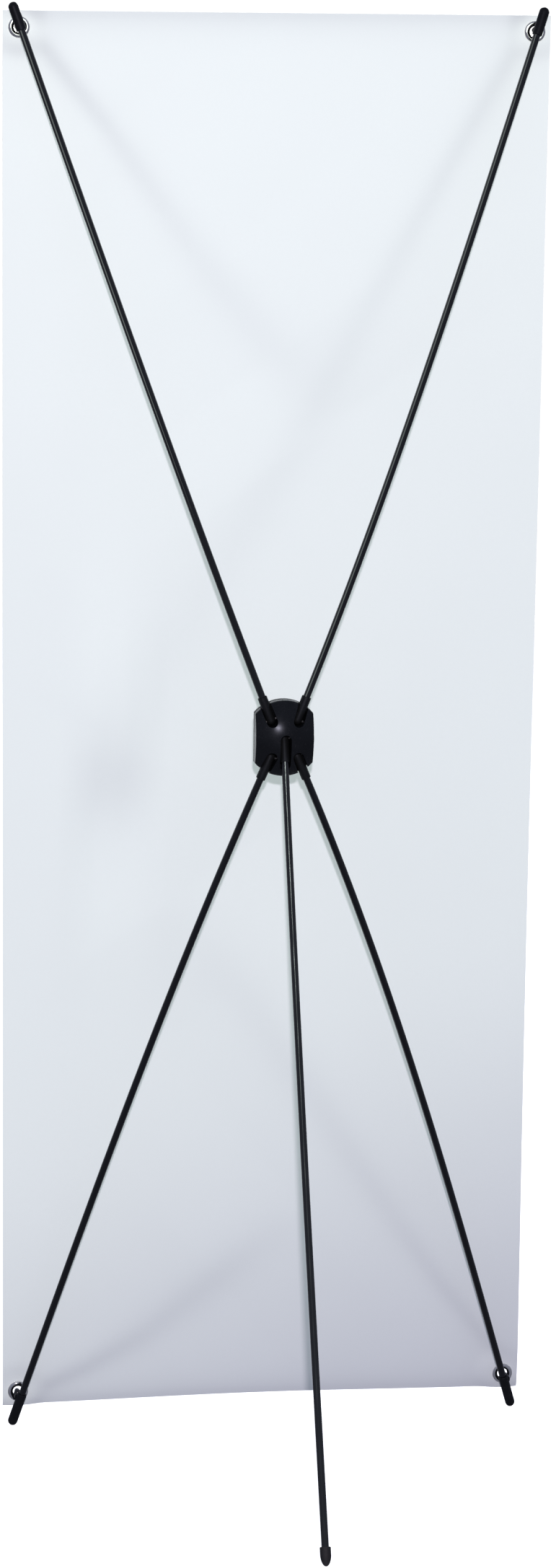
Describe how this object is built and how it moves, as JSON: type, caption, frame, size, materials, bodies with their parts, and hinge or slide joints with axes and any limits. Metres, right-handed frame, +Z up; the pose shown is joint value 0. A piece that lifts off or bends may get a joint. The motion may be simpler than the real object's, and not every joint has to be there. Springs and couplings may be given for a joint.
{
  "type": "banner stand",
  "caption": "Spring-back banner stand with bowed cross rods and a rear leg that fold about a domed hub, and a blank banner hooked on by its corner grommets.",
  "frame": {"origin": "On the floor, under the middle of the stand: the bottom centre of its bounding box.", "axes": "+Z up, +Y to the rear, where the hub and the leg are, and +X to the left as seen from behind. The banner's front faces -Y."},
  "size_m": [0.61, 0.4981, 1.6275],
  "materials": {
    "hub_plastic": "satin black, moulded",
    "socket_plastic": "satin black, moulded",
    "cap_plastic": "satin black, moulded",
    "foot_rubber": "matt black",
    "rod_resin": "gloss black resin",
    "steel": "zinc-plated",
    "nickel": "bright nickel plate",
    "vinyl": "smooth matt white sheet"
  },
  "bodies": {
    "hub": {"hub_rear_shell": "hub_plastic", "hub_front_plate": "hub_plastic", "hub_screw_top": "steel", "hub_screw_left": "steel", "hub_screw_right": "steel", "pivot_pin_upper_left": "steel", "pivot_pin_upper_right": "steel", "pivot_pin_lower_left": "steel", "pivot_pin_lower_right": "steel", "pivot_pin_rear_leg": "steel"},
    "arm_upper_left": {"socket_upper_left": "socket_plastic", "rod_upper_left": "rod_resin", "corner_cap_upper_left": "cap_plastic"},
    "arm_upper_right": {"socket_upper_right": "socket_plastic", "rod_upper_right": "rod_resin", "corner_cap_upper_right": "cap_plastic"},
    "arm_lower_left": {"socket_lower_left": "socket_plastic", "rod_lower_left": "rod_resin", "corner_cap_lower_left": "cap_plastic"},
    "arm_lower_right": {"socket_lower_right": "socket_plastic", "rod_lower_right": "rod_resin", "corner_cap_lower_right": "cap_plastic"},
    "rear_leg": {"socket_rear_leg": "socket_plastic", "rod_rear_leg": "rod_resin", "foot_cap_rear_leg": "foot_rubber"},
    "banner": {"banner": "vinyl", "grommet_upper_left": "nickel", "grommet_upper_right": "nickel", "grommet_lower_left": "nickel", "grommet_lower_right": "nickel", "grommet_washer_upper_left": "nickel", "grommet_washer_upper_right": "nickel", "grommet_washer_lower_left": "nickel", "grommet_washer_lower_right": "nickel"}
  },
  "joints": [
    {"name": "fold_upper_left", "type": "hinge", "parent": "hub", "child": "arm_upper_left", "pos_m": [0.015, -0.1355, 0.846], "axis": [-0.9323, 0, 0.3616], "range_deg": [0, 85]},
    {"name": "fold_upper_right", "type": "hinge", "parent": "hub", "child": "arm_upper_right", "pos_m": [-0.015, -0.1355, 0.846], "axis": [-0.9323, 0, -0.3616], "range_deg": [0, 85]},
    {"name": "fold_lower_left", "type": "hinge", "parent": "hub", "child": "arm_lower_left", "pos_m": [0.015, -0.1355, 0.805], "axis": [0.9191, 0, 0.3939], "range_deg": [0, 85]},
    {"name": "fold_lower_right", "type": "hinge", "parent": "hub", "child": "arm_lower_right", "pos_m": [-0.015, -0.1355, 0.805], "axis": [0.9191, 0, -0.3939], "range_deg": [0, 85]},
    {"name": "fold_rear_leg", "type": "hinge", "parent": "hub", "child": "rear_leg", "pos_m": [0, -0.1355, 0.8255], "axis": [1, 0, 0], "range_deg": [0, 60]},
    {"name": "banner_unhook", "type": "slide", "parent": "hub", "child": "banner", "axis": [0, -1, 0], "range_m": [0, 0.12]}
  ]
}
